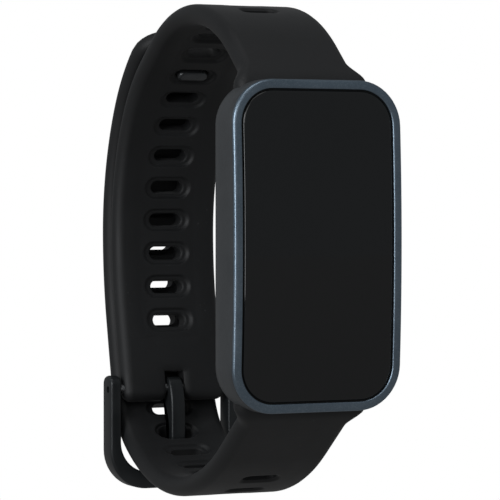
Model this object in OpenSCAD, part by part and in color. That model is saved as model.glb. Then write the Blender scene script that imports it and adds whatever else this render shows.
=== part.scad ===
// Wrist-worn activity tracker: a slim case with a curved glass front on a
// two-piece perforated silicone strap with a pin buckle, closed as worn.
// Millimetres. +X across the strap, +Y away from the screen, +Z to 12 o'clock.
// Origin at the centre of the case's rear face, which rests on the wrist.

/* [Case] */
// case width across the strap
case_w = 24.4; // [22:0.1:28]
// case height along the strap
case_h = 43.3; // [40:0.1:48]
// case depth from the middle of the glass to the rear face
case_t = 9; // [8:0.1:12]
// corner radius of the case outline
case_corner = 5.9; // [5:0.1:9]
// radius of the front, which is curved along its height
front_curve = 280; // [150:5:400]
// width of the metal ring round the glass
ring_w = 1.25; // [0.8:0.05:2]
// depth of the metal ring
ring_d = 1.9; // [1.5:0.1:2.6]
// thickness of the case wall
wall = 1.2; // [1:0.1:1.8]
// radius that rounds the case into its rear face
rear_round = 3.4; // [2:0.1:4]

/* [Strap] */
// strap width along most of its length
strap_w = 16; // [14:0.5:20]
// strap width where it enters the case
root_w = 19.2; // [18:0.1:19.4]
// strap thickness
strap_t = 2.8; // [2.2:0.1:3.2]
// space between the two layers of the closed strap
layer_gap = 0.5; // [0.3:0.1:1.5]
// width of a strap slot
slot_w = 5; // [4:0.1:6]
// height of a strap slot
slot_h = 2; // [1.6:0.1:2.4]
// spacing of the slots on the upper strap
upper_pitch = 5.1; // [4.5:0.05:6.5]
// spacing of the slots on the lower strap
lower_pitch = 5.25; // [4.5:0.05:6.5]

/* [Buckle] */
// outer width of the buckle frame
frame_w = 20.2; // [19:0.1:22]
// width of one leg of the buckle frame
frame_leg = 1.65; // [1.4:0.05:2.2]
// depth of the buckle frame
frame_d = 2.6; // [2:0.1:3]
// reach of the frame from the bar to the end of its far bar
frame_reach = 14.4; // [12:0.1:16]
// width of the tongue
tongue_w = 2.2; // [1.8:0.1:2.6]
// thickness of the tongue
tongue_t = 1.4; // [1.2:0.1:1.8]
// radius of the curve of the tongue
tongue_r = 12; // [10:0.5:20]

/* [Spring bars] */
// outer radius of a spring bar's tube
bar_r = 0.75; // [0.6:0.05:1]
// bore radius of the tube
bar_bore = 0.5; // [0.4:0.05:0.7]
// radius of a bar's pin tip
tip_r = 0.45; // [0.35:0.05:0.6]
// travel of a sprung pin
pin_travel = 1.3; // [1:0.1:1.6]

/* [Hidden] */
$fn = 96;

front_y = -case_t;
bar_y = -3.1;
bar_z = 17.2;
root_len = 9.75;
pocket_z = 15.2;
tab_z = 15.5;
tab_rear = -1.4;
frame_in = frame_w / 2 - frame_leg;

// run of the upper strap's outer face: [0 straight or 1 arc, length or radius, end heading]
up_start = [-5, 21.7];
up_head = 41;
up_run = [[0, 8, 41], [1, 23.5, 0], [1, 21, -36], [0, 4.5, -36], [1, 23.5, -62],
          [1, 36, -90], [1, 60, -102], [0, 10.6, -102]];

// a point moved along one stretch, out(h) being the outward direction at a heading
function out(h) = [-sin(h), cos(h)];
function ahead(s, p, h) = s[0] == 0 ? p + s[1] * [cos(h), sin(h)]
                                    : p + s[1] * (out(s[2]) - out(h));
function head_in(r, i, h) = i == 0 ? h : r[i - 1][2];
function start_of(r, i, p, h) = i == 0 ? p
    : ahead(r[i - 1], start_of(r, i - 1, p, h), head_in(r, i - 1, h));
function stretch_len(r, i, h) = r[i][0] == 0 ? r[i][1]
    : r[i][1] * (head_in(r, i, h) - r[i][2]) * PI / 180;
// [point, heading] at distance d along a run
function along(r, p, h, d, i = 0) =
    (d <= stretch_len(r, i, h) || i == len(r) - 1)
    ? (r[i][0] == 0
       ? [start_of(r, i, p, h) + d * [cos(r[i][2]), sin(r[i][2])], r[i][2]]
       : let (h0 = head_in(r, i, h), h1 = h0 - d / r[i][1] * 180 / PI)
         [start_of(r, i, p, h) + r[i][1] * (out(h1) - out(h0)), h1])
    : along(r, p, h, d - stretch_len(r, i, h), i + 1);

up_end = start_of(up_run, 8, up_start, up_head);
end_head = -102;
// the buckle's bar lies in the middle of the upper strap's rounded end
pivot = up_end - strap_t / 2 * out(end_head);

// the lower strap is drawn with Z turned over, from the case to the buckle, and its two
// straight stretches take the lengths that bring it alongside the upper strap
low_head = 38;
low_turn = -32;
low_r1 = 30;
low_r2 = 27;
low_r3 = 13;
join_head = -180 - end_head;
join_p = up_end + (layer_gap + strap_t) * out(end_head);
low_goal = [join_p[0], -join_p[1]] - up_start - low_r1 * (out(0) - out(low_head))
    - low_r2 * (out(low_turn) - out(0)) - low_r3 * (out(join_head) - out(low_turn));
low_u = [cos(low_head), sin(low_head)];
low_v = [cos(low_turn), sin(low_turn)];
low_len1 = cross(low_goal, low_v) / cross(low_u, low_v);
low_len2 = cross(low_u, low_goal) / cross(low_u, low_v);
low_run = [[0, low_len1, low_head], [1, low_r1, 0], [1, low_r2, low_turn],
           [0, low_len2, low_turn], [1, low_r3, join_head]];

// the free end lies along the upper strap from the buckle to a tip on its straight stretch
tail_head = -36;
tail_start = start_of(up_run, 3, up_start, up_head) + 1.4 * [cos(tail_head), sin(tail_head)];
tail_run = concat([[0, 3.1, tail_head]], [for (i = [4 : 7]) up_run[i]]);

// slots: distance along each run of the one nearest the case, and how many
up_first = 17.8;
up_slots = 14;
tongue_slot = 49;
low_before = 6;
tail_first = 61.3;
tail_pitch = 5.5;
tail_slots = 6;
stud_at = 43.3;
function up_at(d) = along(up_run, up_start, up_head, d);
function low_at(d) = along(low_run, up_start, low_head, d);

// the tongue is an arc from the bar to the far bar of the frame, bowed to the wrist
tongue_tip = pivot + [1.05, -13.8];
tongue_mid = (pivot + tongue_tip) / 2;
tongue_half = norm(tongue_tip - pivot) / 2;
tongue_c = tongue_mid + sqrt(pow(tongue_r, 2) - pow(tongue_half, 2)) / tongue_half / 2
    * [pivot[1] - tongue_tip[1], tongue_tip[0] - pivot[0]];

// a flat shape drawn with Y to the right and Z up, given a width across the strap
module across(w) { rotate([90, 0, 90]) translate([0, 0, -w / 2]) linear_extrude(w) children(); }
// the same, from one X to another
module between(a, b) { rotate([90, 0, 90]) translate([0, 0, a]) linear_extrude(b - a) children(); }
// a flat shape drawn with X to the right and Z up, from depth a to depth b
module deep(a, b) { translate([0, b, 0]) rotate([90, 0, 0]) linear_extrude(b - a) children(); }
// a rod along X from a to b through a point given as [Y, Z]
module rod(a, b, p, r) { translate([a, p[0], p[1]]) rotate([0, 90, 0]) cylinder(r = r, h = b - a); }
module round_rect(w, h, r) {
    square([w - 2 * r, h], center = true);
    square([w, h - 2 * r], center = true);
    for (x = [-1, 1], z = [-1, 1]) translate([x * (w / 2 - r), z * (h / 2 - r)]) circle(r);
}
module pill(w, h) {
    square([w - h, h], center = true);
    for (x = [-1, 1]) translate([x * (w - h) / 2, 0]) circle(h / 2);
}
module outline(inset) { round_rect(case_w - 2 * inset, case_h - 2 * inset, case_corner - inset); }
// everything behind the curved front moved back by d
module behind(d) { across(60) translate([front_y + front_curve, 0]) circle(front_curve - d, $fn = 720); }
// a strap's side view: its run followed at one distance from the outer face and back at
// another, in steps of about 3 degrees
function edge(r, p, h, off) = [
    for (i = [0 : len(r) - 1])
        let (h0 = head_in(r, i, h), n = r[i][0] == 0 ? 1 : ceil((h0 - r[i][2]) / 3))
        for (k = [0 : n - 1])
            let (hk = h0 + (r[i][2] - h0) * k / n)
            start_of(r, i, p, h) + (r[i][0] == 0 ? 0 : r[i][1]) * (out(hk) - out(h0))
                + off * out(hk),
    start_of(r, len(r), p, h) + off * out(r[len(r) - 1][2])
];
function backwards(v) = [for (i = [len(v) - 1 : -1 : 0]) v[i]];
function turned(v) = [for (q = v) [q[0], -q[1]]];
// puts a shape drawn on the strap (X across, Y along it, Z outward) at [point, heading]
module on_strap(q) { translate([0, q[0][0], q[0][1]]) rotate([q[1], 0, 0]) children(); }
module slot(q, w, h, shift = 0) {
    on_strap(q) translate([0, shift, -5]) linear_extrude(10) pill(w, h);
}
// the case's outside as one solid: outline, curved front and rounded rear
module case_solid() {
    intersection() {
        deep(front_y - 1, 0) outline(0);
        behind(0);
        across(60) rear_view(case_h);
        translate([0, 0, -40]) linear_extrude(80) rotate(90) rear_view(case_w);
    }
}
// a strip w wide that ends at 0 on its right with two rounded corners
module rear_view(w) {
    translate([-rear_round - 20, 0]) square([40, w], center = true);
    translate([-rear_round, -w / 2 + rear_round]) square([rear_round, w - 2 * rear_round]);
    for (z = [-1, 1]) translate([-rear_round, z * (w / 2 - rear_round)]) circle(rear_round);
}

module case_shell() color([0.2, 0.22, 0.24]) {
    difference() {
        case_solid();
        translate([-30, -40, -40]) cube([60, 40 + front_y + ring_d, 80]);
        deep(front_y + 1, -1.5) round_rect(case_w - 2 * wall, 2 * (pocket_z - 0.7), 4);
        deep(front_y + 1, front_y + 2.4) outline(wall + 0.4);
        deep(-2, 1) round_rect(20.6, 28, 4.4);
        // pockets for the strap roots, with holes for the tips of their spring bars
        for (z = [0, 1]) mirror([0, 0, z]) {
            translate([-root_len, front_y + 3.7, pocket_z]) cube([2 * root_len, 20, 20]);
            rod(-root_len - 1.4, root_len + 1.4, [bar_y, bar_z], tip_r + 0.05);
        }
        // side button's hole and the groove of its seal
        translate([0, -4.8, 4]) { between(10, 14) rotate(90) pill(7.1, 2.3);
            between(11.35, 11.75) rotate(90) pill(7.9, 3.1); }
    }
}
module bezel_ring() color([0.32, 0.36, 0.42]) {
    intersection() {
        deep(front_y - 1, front_y + ring_d) difference() { outline(0); outline(ring_w); }
        behind(0);
    }
}
module glass_gasket() color([0.02, 0.02, 0.02]) {
    // fills the gap round the glass and turns in under its edge
    intersection() {
        deep(front_y - 1, front_y + ring_d) difference() {
            outline(ring_w);
            outline(ring_w + 0.2);
        }
        behind(0.3);
    }
    deep(front_y + ring_d - 0.27, front_y + ring_d) difference() {
        outline(ring_w);
        outline(ring_w + 1);
    }
}
module cover_glass() color([0.1, 0.11, 0.12]) {
    difference() {
        intersection() { deep(front_y - 1, front_y + ring_d) outline(ring_w + 0.2); behind(0.02); }
        behind(0.9);
    }
}
module display_panel() color([0.02, 0.02, 0.03]) {
    intersection() {
        deep(front_y, front_y + 1.9) round_rect(18.6, 36.5, 3);
        difference() { behind(0.9); behind(1.6); }
    }
}
module display_backplate() color([0.5, 0.5, 0.52]) {
    intersection() {
        deep(front_y, front_y + 2.3) round_rect(18.2, 34.4, 3);
        difference() { behind(1.6); behind(1.8); }
    }
}
module inner_frame() color([0.28, 0.28, 0.3]) {
    difference() {
        deep(-6.1, -5.5) round_rect(20, 28.6, 3.8);
        deep(-7, -5) for (z = [-8.6, 9.4]) translate([6.6, z]) round_rect(4, 6, 0.8);
    }
    // ribs that hold the battery
    for (z = [-12.9, 12.9]) translate([-10, -5.5, z - 0.4]) cube([12.6, 0.9, 0.8]);
}
module battery() color([0.62, 0.64, 0.66]) {
    translate([-3.8, 0, 0]) deep(-5.4, -3) round_rect(12, 24.6, 0.8);
}
module main_board() color([0.05, 0.25, 0.12]) { deep(-2.75, -2.15) round_rect(20.4, 28.4, 3.2); }
module shield_can() color([0.7, 0.71, 0.72]) {
    translate([6.3, 0, -8.6]) deep(-4.4, -2.75) round_rect(6.6, 10, 0.5);
}
module processor_chip() color([0.06, 0.06, 0.07]) {
    translate([5.6, 0, 0.6]) deep(-3.6, -2.75) round_rect(4.4, 4.4, 0.2);
}
module motor_can() color([0.75, 0.76, 0.77]) {
    translate([6.3, 0, 10.8]) {
        deep(-5.2, -2.8) difference() { circle(3.4); circle(3.15); }
        deep(-5.2, -4.9) circle(3.3);
        deep(-3.1, -2.8) circle(3.3);
        deep(-5.2, -2.8) circle(0.35);
    }
}
module motor_weight() color([0.5, 0.48, 0.42]) {
    translate([6.3, 0, 10.8]) deep(-4.75, -3.25) difference() {
        union() {
            intersection() { circle(2.95); translate([-4, 0]) square([8, 4]); }
            circle(0.9);
        }
        circle(0.4);
    }
}
module side_button() color([0.25, 0.27, 0.3]) {
    translate([0, -4.8, 4]) {
        between(10.9, 12.5) rotate(90) pill(7, 2.2);
        between(10.55, 10.95) rotate(90) pill(7.8, 3);
        between(9.75, 10.6) circle(0.5);
    }
}
module button_seal() color([0.1, 0.1, 0.1]) {
    translate([0, -4.8, 4]) between(11.35, 11.75) rotate(90) difference() {
        pill(7.9, 3.1);
        pill(7.06, 2.26);
    }
}
module button_switch() color([0.75, 0.74, 0.7]) {
    translate([8.5, -5.4, 2]) cube([0.85, 2.65, 4]);
}
module rear_cover() color([0.09, 0.09, 0.1]) {
    difference() {
        intersection() { deep(-1.4, 0) round_rect(20, 27.4, 4.1); case_solid(); }
        deep(-1, 1) round_rect(8.6, 11.2, 2.4);
        deep(-2, 1) {
            for (z = [-3.2, 3.2]) translate([0, z]) circle(1.6);
            for (x = [-1.9, 1.9]) translate([x, 0]) circle(1.1);
            for (x = [-1.3, 1.3]) translate([x, -11.6]) circle(0.8);
        }
        deep(-2, -0.4) for (x = [-5.2, 5.2]) translate([x, -11.6]) circle(1.6);
    }
}
module rear_gasket() color([0.03, 0.03, 0.03]) {
    intersection() {
        deep(-1.3, 0) difference() { round_rect(20.6, 28, 4.4); round_rect(20, 27.4, 4.1); }
        case_solid();
    }
}
module sensor_window() color([0.04, 0.03, 0.05]) { deep(-1, 0) round_rect(8.6, 11.2, 2.4); }
module sensor_board() color([0.06, 0.22, 0.12]) { deep(-2.05, -1.75) round_rect(12, 18, 1.4); }
module sensor_lamps() color([0.2, 0.7, 0.35]) {
    for (z = [-3.2, 3.2]) translate([0, 0, z]) deep(-1.75, -1.05) square(1.6, center = true);
    for (x = [-1.9, 1.9]) translate([x, 0, 0]) deep(-1.75, -1.05) square(1.2, center = true);
}
module charging_pins() color([0.85, 0.68, 0.35]) {
    for (x = [-1.3, 1.3]) translate([x, 0, -11.6]) deep(-2.1, -0.05) circle(0.8);
}
module charging_magnets() color([0.55, 0.55, 0.57]) {
    for (x = [-5.2, 5.2]) translate([x, 0, -11.6]) deep(-1.5, -0.4) circle(1.6);
}

// root of a strap: a tab in the case's pocket, then the width comes down in two steps
module strap_root(h) {
    d = [cos(h), sin(h)];
    n = out(h);
    // each wider step lies a hair inside the faces of the narrower one
    across(root_w)
        polygon([[up_start[0] + 0.06, tab_z], up_start + 0.06 * d - 0.04 * n,
                 up_start + 2.6 * d - 0.04 * n, up_start + 2.6 * d - (strap_t - 0.04) * n,
                 [tab_rear, 20.6], [tab_rear, tab_z]]);
    across((root_w + strap_w) / 2)
        translate(up_start) rotate(h) translate([0.7, 0.02 - strap_t]) square([3.9, strap_t - 0.04]);
}
// bore for the bar and the slot in the rear face that its release knob slides in
module root_holes() {
    rod(-20, 20, [bar_y, bar_z], bar_r);
    knob_side() linear_extrude(6) pill(2.9, 1.3);
}
module knob_side(x = -6.45) { translate([x, bar_y, bar_z]) rotate([-90, 0, 0]) children(); }
module upper_strap() color([0.11, 0.12, 0.13]) {
    difference() {
        union() {
            across(strap_w) polygon(concat(
                edge(up_run, up_start, up_head, 0),
                [for (a = [10 : 10 : 170]) pivot + strap_t / 2 * out(end_head - a)],
                backwards(edge(up_run, up_start, up_head, -strap_t))));
            strap_root(up_head);
        }
        root_holes();
        for (i = [0 : up_slots - 1]) slot(up_at(up_first + i * upper_pitch), slot_w, slot_h);
        // bore for the buckle's bar, and the notch for the tongue
        rod(-20, 20, pivot, bar_r);
        on_strap([pivot, end_head]) translate([-1.45, -3.2, -3]) cube([2.9, 8, 6]);
    }
}
module lower_strap() color([0.11, 0.12, 0.13]) {
    difference() {
        union() {
            // from the case to the buckle, then along the outside of the upper strap
            across(strap_w) polygon(concat(
                turned(edge(low_run, up_start, low_head, 0)),
                backwards(edge(tail_run, tail_start, tail_head, layer_gap + strap_t)),
                edge(tail_run, tail_start, tail_head, layer_gap),
                turned(backwards(edge(low_run, up_start, low_head, -strap_t)))));
            mirror([0, 0, 1]) strap_root(low_head);
        }
        // rounded tip
        on_strap([tail_start, tail_head]) translate([0, 0, -1]) linear_extrude(6) difference() {
            translate([-10, -5]) square([20, 9.4]);
            translate([0, 14]) round_rect(strap_w, 28, 4.4);
        }
        mirror([0, 0, 1]) root_holes();
        mirror([0, 0, 1]) for (i = [-low_before : 1]) if (i != 0)
            slot(low_at(tongue_slot + i * lower_pitch), slot_w, slot_h);
        // the slot that the tongue goes through is pulled open
        mirror([0, 0, 1]) slot(low_at(tongue_slot), 5.2, 4, -0.7);
        for (i = [0 : tail_slots - 1]) slot(up_at(tail_first + i * tail_pitch), slot_w, slot_h);
        on_strap(up_at(stud_at)) translate([0, 0, layer_gap - 1]) linear_extrude(2.6) pill(4.6, 1.7);
    }
}
module keeper_stud() color([0.45, 0.46, 0.47]) {
    on_strap(up_at(stud_at)) translate([0, 0, -strap_t - 0.1])
        linear_extrude(strap_t + layer_gap + 1.7) pill(4.6, 1.7);
}

// spring bars: a tube in the strap, a fixed tip, a sprung tip with a knob
module bar_tube() {
    difference() {
        rod(-9.3, 9.3, [bar_y, bar_z], bar_r);
        rod(-20, 20, [bar_y, bar_z], bar_bore);
        knob_side() linear_extrude(3) pill(2.6, 1.2);
    }
}
module bar_tip() {
    rod(9.2, 10.9, [bar_y, bar_z], tip_r);
    rod(7.4, 9.3, [bar_y, bar_z], bar_bore);
}
module bar_spring() {
    difference() {
        rod(-5.4, 7.4, [bar_y, bar_z], 0.43);
        rod(-6, 8, [bar_y, bar_z], 0.27);
    }
}
module release_pin() {
    rod(-10.9, -5.4, [bar_y, bar_z], tip_r);
    knob_side(-7.1) cylinder(r = 0.5, h = 2);
}
module upper_bar_tube() color([0.6, 0.6, 0.62]) bar_tube();
module upper_bar_tip() color([0.7, 0.7, 0.72]) bar_tip();
module upper_bar_spring() color([0.5, 0.5, 0.5]) bar_spring();
module upper_release_pin() color([0.65, 0.65, 0.68]) release_pin();
module lower_bar_tube() color([0.6, 0.6, 0.62]) mirror([0, 0, 1]) bar_tube();
module lower_bar_tip() color([0.7, 0.7, 0.72]) mirror([0, 0, 1]) bar_tip();
module lower_bar_spring() color([0.5, 0.5, 0.5]) mirror([0, 0, 1]) bar_spring();
module lower_release_pin() color([0.65, 0.65, 0.68]) mirror([0, 0, 1]) release_pin();

// buckle: open-topped frame, tongue, and a spring bar with a sprung pin at each end
module buckle_frame() color([0.3, 0.32, 0.34]) {
    difference() {
        intersection() {
            translate([0, 0, pivot[1]]) deep(pivot[0] - frame_d / 2, pivot[0] + frame_d / 2)
                difference() {
                    translate([0, 20 - frame_reach]) round_rect(frame_w, 40, 5);
                    translate([0, 20 - frame_reach + 1.9]) round_rect(2 * frame_in, 40, 3.4);
                }
            across(40) translate(pivot) {
                translate([0, 0.7]) circle(frame_d / 2);
                translate([-frame_d / 2, 1 - frame_reach]) square([frame_d, frame_reach - 0.3]);
                translate([-frame_d / 2 + 1, -frame_reach]) square([frame_d - 2, 2]);
                for (y = [-1, 1]) translate([y * (frame_d / 2 - 1), 1 - frame_reach]) circle(1);
            }
        }
        rod(-20, 20, pivot, tip_r + 0.05);
        across(2.6) translate(tongue_c) circle(tongue_r + tongue_t / 2 + 0.04);
    }
}
module buckle_tongue() color([0.33, 0.35, 0.37]) {
    difference() {
        union() {
            across(tongue_w) {
                translate(tongue_c) intersection() {
                    difference() {
                        circle(tongue_r + tongue_t / 2);
                        circle(tongue_r - tongue_t / 2);
                    }
                    polygon([[0, 0], 1.4 * (pivot - tongue_c), 1.8 * (tongue_mid - tongue_c),
                             1.4 * (tongue_tip - tongue_c)]);
                }
                translate(pivot) circle(1.55);
                translate(pivot + [-0.5, 0.95]) circle(1);
                translate(tongue_tip) circle(tongue_t / 2);
            }
        }
        rod(-20, 20, pivot, bar_r + 0.07);
    }
}
module buckle_bar_tube() color([0.6, 0.6, 0.62]) {
    difference() { rod(-8.2, 8.2, pivot, bar_r); rod(-20, 20, pivot, bar_bore); }
}
module buckle_bar_spring() color([0.5, 0.5, 0.5]) {
    difference() { rod(-5.2, 5.2, pivot, 0.43); rod(-6, 6, pivot, 0.27); }
}
module buckle_pin_left() color([0.7, 0.7, 0.72]) rod(-9.6, -5.2, pivot, tip_r);
module buckle_pin_right() color([0.7, 0.7, 0.72]) rod(5.2, 9.6, pivot, tip_r);

case_shell();
bezel_ring();
cover_glass();
glass_gasket();
display_panel();
display_backplate();
inner_frame();
battery();
main_board();
shield_can();
processor_chip();
motor_can();
motor_weight();
side_button();
button_seal();
button_switch();
rear_cover();
rear_gasket();
sensor_window();
sensor_board();
sensor_lamps();
charging_pins();
charging_magnets();
upper_strap();
lower_strap();
keeper_stud();
upper_bar_tube();
upper_bar_tip();
upper_bar_spring();
upper_release_pin();
lower_bar_tube();
lower_bar_tip();
lower_bar_spring();
lower_release_pin();
buckle_frame();
buckle_tongue();
buckle_bar_tube();
buckle_bar_spring();
buckle_pin_left();
buckle_pin_right();
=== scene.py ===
import math

import bmesh
import bpy
import numpy as np
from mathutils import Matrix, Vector


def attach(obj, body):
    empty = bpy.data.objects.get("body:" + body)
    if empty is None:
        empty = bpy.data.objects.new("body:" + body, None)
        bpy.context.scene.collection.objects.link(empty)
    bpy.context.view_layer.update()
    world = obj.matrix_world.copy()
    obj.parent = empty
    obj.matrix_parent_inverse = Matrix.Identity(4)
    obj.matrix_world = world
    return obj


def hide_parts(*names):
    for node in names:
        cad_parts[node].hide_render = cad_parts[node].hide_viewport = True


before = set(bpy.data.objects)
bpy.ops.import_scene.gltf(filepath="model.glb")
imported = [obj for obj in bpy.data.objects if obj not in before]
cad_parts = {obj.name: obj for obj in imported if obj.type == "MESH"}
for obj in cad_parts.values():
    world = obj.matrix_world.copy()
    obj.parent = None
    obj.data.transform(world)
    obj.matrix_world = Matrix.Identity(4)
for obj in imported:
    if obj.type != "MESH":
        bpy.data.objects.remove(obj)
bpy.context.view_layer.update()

mm = 0.001   # sizes below are in millimetres and are brought to metres as each mesh is made
join = np.concatenate


# ---- meshes ----

def gridFaces(rows, cols, wrapRows=False, wrapCols=False, first=0):
    # quads between neighbouring rows and columns of a grid of points, as one index array
    r = np.arange(rows if wrapRows else rows - 1)
    c = np.arange(cols if wrapCols else cols - 1)
    r0, c0 = np.meshgrid(r, c, indexing="ij")
    r1, c1 = (r0 + 1) % rows, (c0 + 1) % cols
    quads = np.stack([r0 * cols + c0, r0 * cols + c1, r1 * cols + c1, r1 * cols + c0], -1)
    return (quads.reshape(-1, 4) + first).tolist()


def addObject(name, data):
    made = bpy.data.objects.new(name, data)
    bpy.context.scene.collection.objects.link(made)
    return made


def meshPiece(name, points, faces, sharpAngle=38):
    # a closed mesh from points in mm: doubles are merged, flat leftovers go, normals turn outwards
    mesh = bpy.data.meshes.new(name)
    mesh.from_pydata((np.asarray(points) * mm).tolist(), [], faces)
    work = bmesh.new()
    work.from_mesh(mesh)
    bmesh.ops.remove_doubles(work, verts=work.verts, dist=2e-6)
    bmesh.ops.dissolve_degenerate(work, edges=work.edges, dist=1e-7)
    bmesh.ops.recalc_face_normals(work, faces=work.faces)
    work.to_mesh(mesh)
    work.free()
    mesh.polygons.foreach_set("use_smooth", np.ones(len(mesh.polygons), bool))
    mesh.set_sharp_from_angle(angle=math.radians(sharpAngle))
    return addObject(name, mesh)


def placePiece(piece, body, node, finish):
    # gives the piece its finish and body, in place of the CAD node whose slot it takes
    piece.data.materials.clear()
    piece.data.materials.append(finishes[finish])
    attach(piece, body)
    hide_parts(node)


def loftRings(name, rings, wrapRings=False, sharpAngle=38):
    # closed loops of equal count joined one to the next; the first and last are closed with a fan
    rings = np.asarray(rings)
    rows, cols = rings.shape[:2]
    points = rings.reshape(-1, 3)
    faces = gridFaces(rows, cols, wrapRows=wrapRings, wrapCols=True)
    if not wrapRings:
        points = join([points, rings[:1].mean(1), rings[-1:].mean(1)])
        c = np.arange(cols)
        n = (c + 1) % cols
        low, high = np.full(cols, rows * cols), np.full(cols, rows * cols + 1)
        top = (rows - 1) * cols
        faces += np.stack([c, n, low], -1).tolist()
        faces += np.stack([c + top, n + top, high], -1).tolist()
    return meshPiece(name, points, faces, sharpAngle)


def cutAway(piece, cutter):
    # takes the cutter's volume out of the piece and keeps only the result
    cutter.data.transform(cutter.matrix_world)
    cut = piece.modifiers.new("cut", "BOOLEAN")
    cut.object = cutter
    cut.solver = "EXACT"
    graph = bpy.context.evaluated_depsgraph_get()
    mesh = bpy.data.meshes.new_from_object(piece.evaluated_get(graph))
    piece.modifiers.clear()
    piece.data = mesh
    bpy.data.objects.remove(cutter)
    mesh.set_sharp_from_angle(angle=math.radians(30))


def smoothStep(a, b, t):
    # 0 below a and 1 above b, with a cubic ease between them
    t = np.clip((t - a) / (b - a), 0, 1)
    return t * t * (3 - 2 * t)


# ---- finishes ----

def newGroup(name, inputs, outputs):
    # a shader group with float inputs and their defaults, and named float outputs
    group = bpy.data.node_groups.new(name, "ShaderNodeTree")
    for title, value in inputs.items():
        group.interface.new_socket(name=title, in_out="INPUT",
                                   socket_type="NodeSocketFloat").default_value = value
    for title in outputs:
        group.interface.new_socket(name=title, in_out="OUTPUT", socket_type="NodeSocketFloat")
    return group, group.nodes.new("NodeGroupInput"), group.nodes.new("NodeGroupOutput")


def addNode(tree, kind, links=None, **values):
    # a node with its settings, and its inputs set to a number or joined to a socket
    node = tree.nodes.new(kind)
    for key, value in values.items():
        setattr(node, key, value)
    for key, value in (links or {}).items():
        if isinstance(value, bpy.types.NodeSocket):
            tree.links.new(value, node.inputs[key])
        else:
            node.inputs[key].default_value = value
    return node


def multiply(tree, a, b):
    return addNode(tree, "ShaderNodeMath", {0: a, 1: b}, operation="MULTIPLY").outputs[0]


def mapRange(tree, value, low, high, top=1.0):
    # low..high brought to 0..top
    node = addNode(tree, "ShaderNodeMapRange",
                   {"Value": value, "From Min": low, "From Max": high, "To Max": top})
    return node.outputs["Result"]


def scaledNoise(tree, scale, detail=3.0, rough=0.55):
    # noise in the object's own coordinates
    place = addNode(tree, "ShaderNodeTexCoord")
    return addNode(tree, "ShaderNodeTexNoise",
                   {"Vector": place.outputs["Object"], "Scale": scale, "Detail": detail,
                    "Roughness": rough})


def cellPattern(tree, scale):
    place = addNode(tree, "ShaderNodeTexCoord")
    return addNode(tree, "ShaderNodeTexVoronoi",
                   {"Vector": place.outputs["Object"], "Scale": scale})


def makeGrainGroup():
    # fine even tooth for a bump, and a broad slow mask for patches of sheen
    tree, ins, outs = newGroup("fineGrain", {"Scale": 3000, "Patch Scale": 120},
                               ["Height", "Patch"])
    fine = scaledNoise(tree, ins.outputs["Scale"])
    broad = scaledNoise(tree, ins.outputs["Patch Scale"], 4.0, 0.6)
    tree.links.new(fine.outputs["Fac"], outs.inputs["Height"])
    tree.links.new(mapRange(tree, broad.outputs["Fac"], 0.36, 0.64), outs.inputs["Patch"])
    return tree


def makeDustGroup():
    # small sparse specks: a cell pattern kept only near some cell centres
    tree, ins, outs = newGroup("restingDust", {"Scale": 900, "Amount": 0.3}, ["Mask"])
    cells = cellPattern(tree, ins.outputs["Scale"])
    speck = mapRange(tree, cells.outputs["Distance"], 0.16, 0.05)
    pick = mapRange(tree, scaledNoise(tree, 260.0, 2.0).outputs["Fac"], 0.56, 0.68)
    mask = multiply(tree, multiply(tree, speck, pick), ins.outputs["Amount"])
    tree.links.new(mask, outs.inputs["Mask"])
    return tree


def makeWearGroup():
    # rubbed edges: where the surface turns sharply outwards, broken up by a noise
    tree, ins, outs = newGroup("edgeWear", {"Amount": 0.5}, ["Mask"])
    shape = addNode(tree, "ShaderNodeNewGeometry")
    edge = mapRange(tree, shape.outputs["Pointiness"], 0.54, 0.60)
    broken = mapRange(tree, scaledNoise(tree, 700.0, 4.0).outputs["Fac"], 0.38, 0.6)
    mask = multiply(tree, multiply(tree, edge, broken), ins.outputs["Amount"])
    tree.links.new(mask, outs.inputs["Mask"])
    return tree


def makeFlakeGroup():
    # metal flakes: each small cell has its own brightness
    tree, ins, outs = newGroup("metalFlake", {"Scale": 9000}, ["Flake"])
    cells = cellPattern(tree, ins.outputs["Scale"])
    grey = addNode(tree, "ShaderNodeSeparateColor", {"Color": cells.outputs["Color"]})
    tree.links.new(grey.outputs["Red"], outs.inputs["Flake"])
    return tree


grainGroup = makeGrainGroup()
dustGroup = makeDustGroup()
wearGroup = makeWearGroup()
flakeGroup = makeFlakeGroup()


def useGroup(tree, group, values):
    # a shared group in a material, with its inputs set
    node = addNode(tree, "ShaderNodeGroup", node_tree=group)
    for key, value in values.items():
        node.inputs[key].default_value = value
    return node


def mixColour(tree, mask, a, b):
    # colour a where the mask is 0 and b where it is 1; each is a socket or a plain colour
    mix = addNode(tree, "ShaderNodeMix", data_type="RGBA")
    mix.clamp_factor = True
    for socket, value in ((mix.inputs[0], mask), (mix.inputs[6], a), (mix.inputs[7], b)):
        if isinstance(value, bpy.types.NodeSocket):
            tree.links.new(value, socket)
        else:
            socket.default_value = value if isinstance(value, float) else (*value, 1.0)
    return mix.outputs[2]


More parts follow.
